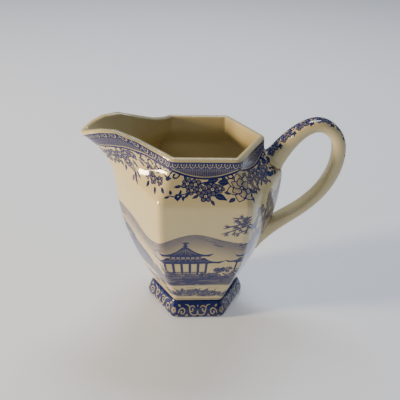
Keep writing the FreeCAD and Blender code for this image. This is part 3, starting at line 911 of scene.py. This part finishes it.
def border(sheet):
    """Dark band of linked loops, and below it a hatched blue ground with a dark line along its lower edge."""
    for k in range(-3, 3):
        edge_u = np.linspace(k, k + 1, 25)
        t = edge_u - k if k >= 0 else k + 1 - edge_u
        if k in (-1, 0):
            edge_w = np.interp(t, [0, 0.2, 0.45, 0.58, 0.68, 0.8, 0.94, 1],
                               [9, 11, 11.3, 9.2, 6.6, 5.6, 5.6, 5.3])
        else:
            edge_w = 5.4 + 4.4 * np.sin(math.pi * t) ** 0.9
        lower = np.column_stack([edge_u * FACE, edge_w])
        sheet.shape(np.vstack([[(k * FACE, 4.8), ((k + 1) * FACE, 4.8)], lower[::-1]]), 0.76)
        hatch = int(width_at(k + 0.5, 6) / 1.0)
        for j in range(hatch):
            x = (k + (j + 0.5) / hatch) * FACE
            bottom = np.interp(x / FACE, edge_u, edge_w) - 0.4
            box(sheet, np.asarray, x - 0.16, x + 0.16, 4.9, bottom, 0.98)
        for shift, wide, ink in ((0.0, 1.0, 1.0), (-0.75, 0.42, 0.22)):
            stroke(sheet, np.asarray, lower[::2] + [0, shift], wide, ink, (1, 1), steps=2)
    box(sheet, np.asarray, -PAST, PAST, 1.5, 5.0, 1.0)
    for k in range(-3, 3):
        loops = 12 if k in (-1, 0) else 8
        for j in range(loops):
            put = on_body(k + (j + 0.5) / loops, 3.2)
            loop = [(-1.3, -0.9), (-1.2, 0.3), (-0.7, 1.1), (0, 1.3), (0.7, 1.1), (1.2, 0.3), (1.3, -0.9)]
            stroke(sheet, put, loop, 0.40, 0.28, (1, 1), steps=1)
            blob(sheet, on_body(k + j / loops, 3.2), 0, 0.9, 0.30, 0.30, 0.2, count=6)
            blob(sheet, put, 0, -0.2, 0.26, 0.45, 0.35, count=6)


FRONT_BLOSSOMS = ((1.265, 12.4, 2.5, 0), (1.37, 12.8, 2.6, 30), (1.585, 15.2, 2.9, 10), (1.50, 18.6, 2.6, 50),
                  (1.33, 15.6, 2.2, 20), (1.44, 15.4, 2.4, 44), (1.68, 14.6, 2.0, 15), (2.14, 17.2, 2.4, 20),
                  (2.08, 10.2, 2.2, 35), (2.18, 13.2, 2.6, 0))
FRONT_LEAVES = ((1.24, 10.6, 3.2, -110), (1.20, 13.6, 3.4, 170), (1.30, 17.0, 3.0, 120), (1.42, 18.0, 3.2, 150),
                (1.56, 20.4, 3.0, 60), (1.63, 17.0, 5.2, 42), (1.60, 18.2, 5.4, 20), (1.66, 11.8, 5.6, -6),
                (1.52, 11.4, 5.4, -12), (1.72, 16.6, 3.6, 10), (1.40, 10.2, 3.0, -60), (1.47, 12.6, 3.4, 0),
                (2.22, 18.4, 3.6, 40), (2.06, 20.2, 3.4, 80), (2.24, 10.0, 3.4, -30), (2.26, 15.2, 3.4, 10),
                (1.79, 11.2, 3.8, -130), (1.84, 19.6, 3.8, 150), (2.10, 7.8, 3.2, -60))
SPOUT_BLOSSOMS = ((0.07, 14.0, 1.9, 0), (0.16, 15.4, 2.2, 30), (0.25, 15.6, 2.5, 12), (0.345, 15.8, 2.5, 50),
                  (0.44, 14.2, 2.3, 20), (0.52, 13.0, 2.2, 40), (0.42, 18.8, 2.3, 10), (0.475, 20.4, 1.7, 0),
                  (0.13, 18.6, 1.8, 15), (0.26, 19.0, 1.9, 25), (0.73, 12.2, 2.2, 0), (0.80, 14.8, 2.3, 30),
                  (0.90, 13.4, 2.1, 10), (0.70, 15.6, 1.8, 50))
SPOUT_LEAVES = ((0.20, 12.2, 3.2, -60), (0.34, 12.4, 3.4, -40), (0.10, 17.0, 3.2, 140), (0.20, 18.6, 3.2, 100),
                (0.31, 19.0, 3.2, 70), (0.38, 20.8, 3.4, 110), (0.49, 17.0, 3.4, 20), (0.51, 21.0, 3.8, 70),
                (0.54, 20.4, 3.2, 20), (0.50, 23.6, 3.4, 110), (0.53, 24.0, 2.8, 50), (0.60, 11.6, 3.2, -20),
                (0.76, 14.2, 4.4, 170), (0.84, 12.8, 4.4, 20), (0.82, 11.0, 4.4, -50), (0.75, 17.2, 3.8, 110),
                (0.85, 17.2, 3.6, 60), (0.95, 15.4, 3.4, 40), (0.96, 11.0, 3.8, -20), (0.66, 13.6, 3.4, 190))


def flower_swag(sheet, k):
    """The spray across the sloping shoulder of a plain face, with a full flower over its far corner."""
    flip = 1 if k > 0 else -1

    def over(u):
        return k + u - 1 if k > 0 else k + 2 - u

    def at(u, w):
        return on_body(over(u), w, 1.12, flip)
    scroll(sheet, at(1.29, 7.4), 0, 0, 2.9, 0.7, 0.95, 150, 1, 400, PALE)
    scroll(sheet, at(1.86, 8.2), 0, 0, 2.4, 0.65, 0.95, -20, -1, 380, PALE)
    stroke(sheet, at(1.5, 10.0), [(-7, 1.5), (-3, 2.2), (1, 1.4), (6, 2.8), (10, 1.4)], 0.7, DARK, (0.5, 0.4))
    for points in (((1.07, 18.4), (1.14, 19.0), (1.22, 18.0), (1.30, 17.0)),
                   ((1.30, 17.0), (1.45, 16.8), (1.6, 17.6))):
        stroke(sheet, np.asarray, [(over(u) * FACE, w) for u, w in points], 0.6, DARK)
    for u, w, turn in ((1.10, 18.2, -120), (1.09, 19.0, 160), (1.16, 18.8, 60), (1.20, 18.2, -90),
                       (1.24, 18.4, 80)):
        leaf(sheet, at(u, w), 0, 0, 2.6, turn, rib=False)
    blossom(sheet, at(1.185, 18.9), 0, 0, 1.5, 0)
    for u, w, long, turn in FRONT_LEAVES:
        leaf(sheet, at(u, w), 0, 0, long, turn)
    for u, w, r, turn in FRONT_BLOSSOMS:
        blossom(sheet, at(u, w), 0, 0, r, turn)
    peony(sheet, at(1.955, 14.6), 0, 0, 6.0, 12)


def spout_sprays(sheet, side):
    """Two sprays on each side of the spout: blossoms by the tip, a scrolled leaf by the corner."""
    def at(u, w):
        return on_body(side * u, w, 1.15, side)
    for u, w, r, turn, hand in ((0.655, 9.4, 3.1, 200, 1), (0.745, 8.6, 2.9, 300, 1), (0.83, 7.4, 2.6, 160, -1),
                                (0.96, 8.0, 2.8, 200, 1), (0.60, 8.2, 2.2, 20, -1), (1.08, 8.2, 2.4, 170, 1)):
        scroll(sheet, at(u, w), 0, 0, r, 0.7, 0.95, turn, hand, 400, PALE)
    stroke(sheet, at(0.40, 15.5), [(-1, 0), (2, 3), (4.5, 6), (5.5, 9)], 0.6, DARK, (0.6, 0.3))
    for u, w, long, turn in SPOUT_LEAVES:
        leaf(sheet, at(u, w), 0, 0, long, turn)
    for u, w, r, turn in SPOUT_BLOSSOMS:
        blossom(sheet, at(u, w), 0, 0, r, turn)
    if side > 0:
        for turn in (60, 120, 90):
            leaf(sheet, at(0.0, 15.4), 0, 0, 3.6, turn)


# ---------------------------------------------------------------- the landscape

def landscape(sheet):
    """A lakeside garden that runs all the way round, of the maker's own invention."""
    far = hills(sheet, [(-3.2, 46), (-3.0, 44), (-2.6, 47), (-2.2, 42), (-1.8, 39.5), (-1.4, 43), (-1.0, 47),
                        (-0.6, 50), (-0.3, 47), (0.0, 44.5), (0.2, 46.3), (0.45, 49.6), (0.6, 51), (0.75, 50.6),
                        (0.95, 47.6), (1.16, 43.2), (1.42, 40.3), (1.65, 43.0), (1.9, 46), (2.1, 47), (2.4, 45),
                        (2.7, 42), (3.0, 44), (3.2, 46)], 64, 0.70, 10.5, 0.05)
    streaks(sheet, far, 70, 3, 0.72, 7.0, 8.0)
    near = hills(sheet, [(-0.85, 73), (-0.6, 67), (-0.3, 59), (0.0, 54), (0.10, 56.5), (0.23, 60), (0.33, 64),
                         (0.45, 67.5), (0.62, 69), (0.75, 73), (0.9, 76)], 84, 0.98, 24.0, 0.55)
    streaks(sheet, near, 84, 5, 1.0, 15.0, 5.0)
    streaks(sheet, near, 36, 6, 0.3, 13.0, 4.0)
    hills(sheet, [(-3.2, 56), (-2.7, 54.5), (-2.2, 57), (-1.7, 55.5), (-1.2, 58), (-0.9, 61)], 66, 0.5, 5.0, 0.05)
    hills(sheet, [(1.95, 56), (2.2, 53), (2.5, 55), (3.0, 54), (3.2, 56)], 66, 0.5, 5.0, 0.05)
    # the near shore, water and banks
    edge = 3.1 * FACE
    box(sheet, np.asarray, -edge, edge, 74.6, 82.6,
        lambda x, y: 0.98 * (0.92 + 0.08 * np.sin(x / 7)) * np.clip((83 - y) / 1.2, 0.1, 1))
    box(sheet, np.asarray, -edge, edge, 72.3, 75.0, 0.88)
    shore = random.Random(21)
    x = -3.05 * FACE
    while x < 3.05 * FACE:
        long = shore.uniform(4, 8)
        blob(sheet, np.asarray, x + long / 2, 73.4 + shore.uniform(-0.6, 0.6), long * 0.66,
             shore.uniform(0.9, 1.6), shore.uniform(0.75, 0.95), 0, bumps=5)
        x += long * 0.8
    water(sheet, -3.1, 3.1, 75.0, 82.6, 96, 31, 0.78)
    water(sheet, -3.1, 3.1, 76.8, 79.6, 56, 32, 1.1)
    water(sheet, -3.1, 3.1, 84.5, 93.5, 50, 33, 0.55)
    for u, w, long, seed in ((1.38, 89.2, 9.0, 41), (1.70, 90.6, 6.5, 50), (0.30, 91.0, 7.5, 42),
                             (2.5, 89.0, 9.0, 43), (-0.5, 89.8, 8.5, 44), (-1.5, 90.5, 9.5, 45),
                             (-2.45, 88.5, 8.0, 46), (2.02, 93.0, 5.0, 47), (0.92, 91.5, 4.5, 48),
                             (0.72, 86.0, 4.0, 49), (1.62, 92.8, 6.5, 51), (1.20, 92.4, 6.0, 52)):
        island(sheet, u, w, long, seed)
    # the front: pavilion among trees, a twig reaching in from the right
    pavilion(sheet, on_body(1.29, 73.4))
    thicket(sheet, ((1.74, 68.0, 3.6, 3.4, 61), (1.84, 66.4, 3.0, 2.4, 62), (1.70, 71.2, 4.4, 2.2, 63),
                    (0.99, 67.6, 2.8, 3.4, 64), (1.07, 71.2, 4.0, 2.2, 65), (0.95, 64.8, 1.8, 2.0, 66),
                    (1.55, 71.6, 3.4, 1.8, 67), (1.30, 71.4, 4.2, 1.5, 68), (1.90, 71.4, 4.0, 1.8, 69)), 0.98)
    for x, y in ((4.2, -1.6), (5.4, -0.2), (4.6, 1.2), (3.0, -2.8), (5.8, 2.2)):
        stroke(sheet, on_body(1.74, 68.0), [(0, 0), (x, y)], 0.7, 0.95)
    for u, w, long, turn, seed in ((2.02, 30.0, 9.5, 178, 71), (2.02, 33.0, 14.5, 166, 72),
                                   (2.0, 34.4, 15.0, 156, 73), (2.06, 36.5, 11.0, 160, 74),
                                   (2.02, 31.6, 8.0, 160, 75)):
        bough(sheet, on_body(u, w), 0, 0, long, turn, seed)
    # the right: a great tree over a second roof
    trunk = on_body(2.55, 72)
    stroke(sheet, trunk, [(4, 2), (1, -8), (3, -20), (-1, -30), (2, -40)], 2.4, 0.95, (1, 0.4))
    stroke(sheet, trunk, [(2.5, -16), (-6, -22), (-12, -30), (-20, -38)], 1.3, 0.95, (1, 0.3))
    stroke(sheet, trunk, [(1, -26), (8, -31), (14, -33)], 1.2, 0.95, (1, 0.3))
    thicket(sheet, ((2.14, 38, 5, 3.2, 81), (2.32, 34, 6, 3.6, 82), (2.55, 31.5, 6.5, 3.8, 83),
                    (2.80, 36, 6, 4, 84), (2.42, 41, 5, 3, 85), (2.70, 45, 5, 3.2, 86),
                    (2.03, 48.6, 3.0, 2.4, 87), (2.9, 48, 4, 3, 88),
                    (2.2, 45, 3.6, 2.6, 89), (1.955, 47.6, 1.8, 1.7, 90), (2.86, 40, 4.5, 4, 98),
                    (2.66, 37, 4.5, 4, 99), (2.45, 49, 4, 3, 100), (2.92, 31, 3.5, 3.5, 97)), 0.95, 9)
    pavilion(sheet, on_body(2.14, 69.6, 0.78), 9.0)
    thicket(sheet, ((2.42, 68, 4.5, 3.8, 91), (2.7, 69, 4.6, 3, 92), (2.92, 66, 3.5, 4, 94),
                    (2.10, 71, 5, 2, 95)), 0.95)
    # under the spout: a wooded bank
    thicket(sheet, ((0.28, 71, 5, 4, 101), (0.50, 73.5, 5, 3, 102), (0.12, 70, 4.5, 4.4, 103),
                    (0.70, 76, 4, 2.6, 104), (-0.1, 70, 5, 4.4, 106),
                    (-0.45, 73, 5.5, 3.6, 107), (-0.75, 74, 5, 3, 108),
                    (0.83, 72.5, 3.0, 2.4, 109)), 0.92, 8)
    # the back: a smaller pavilion, a humped bridge and two sailing boats
    pavilion(sheet, on_body(-1.62, 73.0, 0.86))
    for u, high, seed in ((-1.12, 24, 111), (-2.06, 16, 112), (-2.92, 22, 113), (-1.04, 13, 114)):
        tree(sheet, on_body(u, 73), high, seed, 0.95)
    bridge = on_body(-2.45, 74.5)
    arch = spline([(-9, 0), (-5, -3.4), (0, -4.8), (5, -3.4), (9, 0)], steps=5)
    sheet.shape(bridge(np.vstack([arch, arch[::-1] * [0.86, 1] + [0, 1.5]])), 1.0)
    for x in np.linspace(-7.5, 7.5, 11):
        y = -4.8 + 4.8 * (abs(x) / 9) ** 1.8
        box(sheet, bridge, x - 0.18, x + 0.18, y - 1.8, y, 0.95)
    stroke(sheet, bridge, [(-8, -2.4), (-5, -5.2), (0, -6.5), (5, -5.2), (8, -2.4)], 0.45, 0.95)
    for u, w, size in ((-2.2, 81.0, 1.0), (-0.98, 80.0, 0.8)):
        boat = on_body(u, w, size)
        sheet.shape(boat([(-4, -0.6), (4.4, -0.9), (3.0, 0.9), (-2.8, 0.9)]), 1.0)
        sheet.shape(boat([(0.3, -8), (0.6, -1.2), (4.0, -1.6)]), 0.2)
        stroke(sheet, boat, [(0, -0.8), (0.1, -5), (0, -8.4)], 0.5, DARK, (1, 0.5))


def hem(sheet):
    """A line of short ticks just above the foot."""
    for j in range(-90, 90):
        x = (j + 0.5) / 30 * FACE
        box(sheet, np.asarray, x - 0.38, x + 0.38, 97.4, 98.3, 0.85)
    box(sheet, np.asarray, -PAST, PAST, 99.0, 101.5, 0.95)


def draw_body(sheet):
    """The whole print of the body, the landscape first and the border over everything."""
    landscape(sheet)
    hem(sheet)
    for k in (-3, -2, 1, 2):
        flower_swag(sheet, k)
    for side in (1, -1):
        spout_sprays(sheet, side)
    border(sheet)


def draw_foot(sheet):
    """Pale scrolls, leaves and small flowers left in a solid ground."""
    line = 0.36                         # ink left in the pale lines
    box(sheet, np.asarray, -200, 200, -0.5, 13.2, 1.0)
    for k in range(-3, 3):
        for side in (1, -1):
            def at(x, w):
                return flat_at((k + 0.5) * FACE + side * x * 1.42, w, flip=side)
            scroll(sheet, at(3.4, 5.8), 0, 0, 2.8, 0.82, line, 200, 1, 360)
            scroll(sheet, at(8.8, 7.4), 0, 0, 3.1, 0.82, line, 20, -1, 380)
            stroke(sheet, at(0, 0), [(0.2, 9.0), (2.4, 9.8), (5.6, 8.6), (7.4, 3.6), (11.0, 2.4)], 0.82, line,
                   (0.6, 0.3))
            for x, w, turn in ((5.4, 9.2, 30), (10.2, 3.8, -30), (11.0, 10.0, 20)):
                leaf(sheet, at(x, w), 0, 0, 3.0, turn, line, 0.46, rib=False)
        leaf(sheet, flat_at((k + 0.5) * FACE, 9.6), 0, 0, 3.6, -90, line, 0.36, rib=False)
        blossom(sheet, flat_at(k * FACE, 6.6), 0, 0, 2.1, 18, ink=line, fill=1.6)
        blob(sheet, flat_at(k * FACE, 6.6), 0, 0, 0.6, 0.6, 1.0)
        blob(sheet, flat_at((k + 0.5) * FACE, 3.4), 0, 0, 0.6, 0.6, line)


def draw_strap(sheet):
    """Sprigs of blossom along the outside of the strap, thinning out towards the lower root."""
    for i in range(19):
        w = 3 + 4.4 * i
        side = 1 if i % 2 else -1
        put = flat_at(0, w, flip=side)
        stroke(sheet, put, [(-3.0, -2.8), (1.4, -1), (-1.2, 1.2), (3.0, 2.8)], 0.75, DARK, (0.6, 0.6))
        blossom(sheet, put, -1.7, 0.2, 2.3, 20)
        if i < 14:
            blossom(sheet, put, 2.4, 1.8, 1.9, 50)
            leaf(sheet, put, -3.0, 1.4, 3.0, 120)
            leaf(sheet, put, 2.6, -0.6, 3.2, -40)
        leaf(sheet, put, 0.6, -1.8, 3.2, -70)


# ---------------------------------------------------------------- the pieces

glaze = printed_earthenware()
biscuit = bare_earthenware()


def steps(*stops):
    """Rows or columns of a sheet: (from, to, how many) runs joined end to end."""
    out = [np.linspace(a, b, n + 1)[:-1] for a, b, n in stops]
    return np.concatenate(out + [[stops[-1][1]]])


face_columns = np.concatenate([[k + s for s in crowded(12)[:-1]] for k in range(-3, 3)] + [[3.0]]) * FACE

u, w, points = body_form()
body_shape = skin_form("body_form", u, w, points, [(0, (0, 0, 1)), (-1, (0, 0, -1))])
body_sheet = Sheet(-3 * FACE, 3 * FACE, FLOOR_W, UNDER_W, face_columns,
                   steps((FLOOR_W, INSIDE_W - 6, 4), (INSIDE_W - 6, INSIDE_W, 5), (INSIDE_W, RIM_W - 20, 14),
                         (RIM_W - 20, RIM_W, 10), (RIM_W, OUTER_SOFT, 12), (OUTER_SOFT, 28, 17),
                         (28, 100, 26), (100, UNDER_W, 4)))
# True widths of the faces down the sheet, so that drawings keep their proportions on the form.
middle, face = len(u) // 2, (len(u) - 1) // 6
ring_lengths = np.linalg.norm(np.diff(points, axis=1), axis=2)
face_width["w"] = w
face_width["spout"] = ring_lengths[:, middle:middle + face].sum(axis=1)
face_width["plain"] = ring_lengths[:, middle + face:middle + 2 * face].sum(axis=1)
draw_body(body_sheet)
body = wrapped("glazed_body", body_sheet, body_shape, glaze)
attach(body, "root")
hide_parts("body_wall", "body_floor", "spout")

u, w, points = foot_form()
foot_shape = skin_form("foot_form", u, w, points)
foot_sheet = Sheet(-3 * FACE, 3 * FACE, w[0], w[-1], face_columns,
                   steps((0, FOOT_W, 10), (FOOT_W, FOOT_END_W, 4)))
draw_foot(foot_sheet)
foot = wrapped("glazed_foot", foot_sheet, foot_shape, glaze)
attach(foot, "root")
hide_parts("foot")

x, w, points = strap_form()
strap_shape = skin_form("strap_form", x, w, points)
strap_sheet = Sheet(x[0], x[-1], w[0], w[-1], np.linspace(x[0], x[-1], 25),
                    steps((w[0], w[1], 1), (w[1], w[1] + 24, 24), (w[1] + 24, w[-2] - 40, 40),
                          (w[-2] - 40, w[-2], 30), (w[-2], w[-1], 1)))
draw_strap(strap_sheet)
strap = wrapped("glazed_handle", strap_sheet, strap_shape, glaze)
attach(strap, "root")
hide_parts("handle", "handle_upper_joint", "handle_lower_joint")

u, w, points = ring_form()
ring_shape = skin_form("ring_form", u, w, points)
ring = wrapped("standing_ring", Sheet(u[0], u[-1], w[0], w[-1], u, w), ring_shape, biscuit)
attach(ring, "root")
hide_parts("foot_ring")


# ---------------------------------------------------------------- the table, light and camera

def plain(name, colour, rough, glow):
    """A material of one colour that also gives off a little light."""
    material, tree = new_material(name)
    shader = add_node(tree, "ShaderNodeBsdfPrincipled", sockets={
        "Base Color": linear(colour), "Roughness": rough,
        "Emission Color": linear(colour), "Emission Strength": glow})
    add_node(tree, "ShaderNodeOutputMaterial", wires={"Surface": shader.outputs["BSDF"]})
    return material


table_mesh = bpy.data.meshes.new("table")
table_mesh.from_pydata([(-3, -3, 0), (3, -3, 0), (3, 3, 0), (-3, 3, 0)], [], [(0, 1, 2, 3)])
table_mesh.materials.append(plain("pale table, lit from below", "f3f6fb", 0.7, 0.24))
table = bpy.data.objects.new("table", table_mesh)
bpy.context.scene.collection.objects.link(table)


def lamp(name, place, aim, size, watts, colour="ffffff"):
    """A soft rectangular lamp at a place, facing a point, both in metres."""
    light = bpy.data.lights.new(name, "AREA")
    light.shape = "RECTANGLE"
    light.size, light.size_y = size
    light.energy = watts
    light.color = linear(colour)[:3]
    thing = bpy.data.objects.new(name, light)
    thing.location = place
    thing.rotation_euler = (Vector(aim) - Vector(place)).to_track_quat("-Z", "Y").to_euler()
    bpy.context.scene.collection.objects.link(thing)


world = bpy.data.worlds.new("room")
world.use_nodes = True
sky = world.node_tree.nodes["Background"]
sky.inputs["Color"].default_value = linear("d3e2f6")
sky.inputs["Strength"].default_value = 0.17
bpy.context.scene.world = world

# A low warm window on the spout's side, a small lamp for the sparkle in front, and a dim window behind.
lamp("window", (-0.98, -0.15, 0.27), (0, 0, 0.06), (0.12, 0.26), 15.0, "ffe4b8")
lamp("small lamp", (-0.42, -0.60, 0.52), (0, 0, 0.06), (0.035, 0.035), 0.35, "e6eeff")
lamp("back window", (0.10, 0.50, 0.95), (0, 0, 0.06), (0.5, 0.3), 6.0, "e8f0ff")

camera = bpy.data.cameras.new("camera")
camera.lens, camera.sensor_width = 49.42, 36.0
camera.clip_start = 0.01
eye = bpy.data.objects.new("camera", camera)
place, aim, roll = Vector((-0.02186, -0.25660, 0.21408)), Vector((0.000524, 0, 0.063126)), math.radians(2.67)
turn = (aim - place).to_track_quat("-Z", "Y").to_matrix() @ Matrix.Rotation(roll, 3, "Z")
eye.matrix_world = Matrix.Translation(place) @ turn.to_4x4()
bpy.context.scene.collection.objects.link(eye)
bpy.context.scene.camera = eye
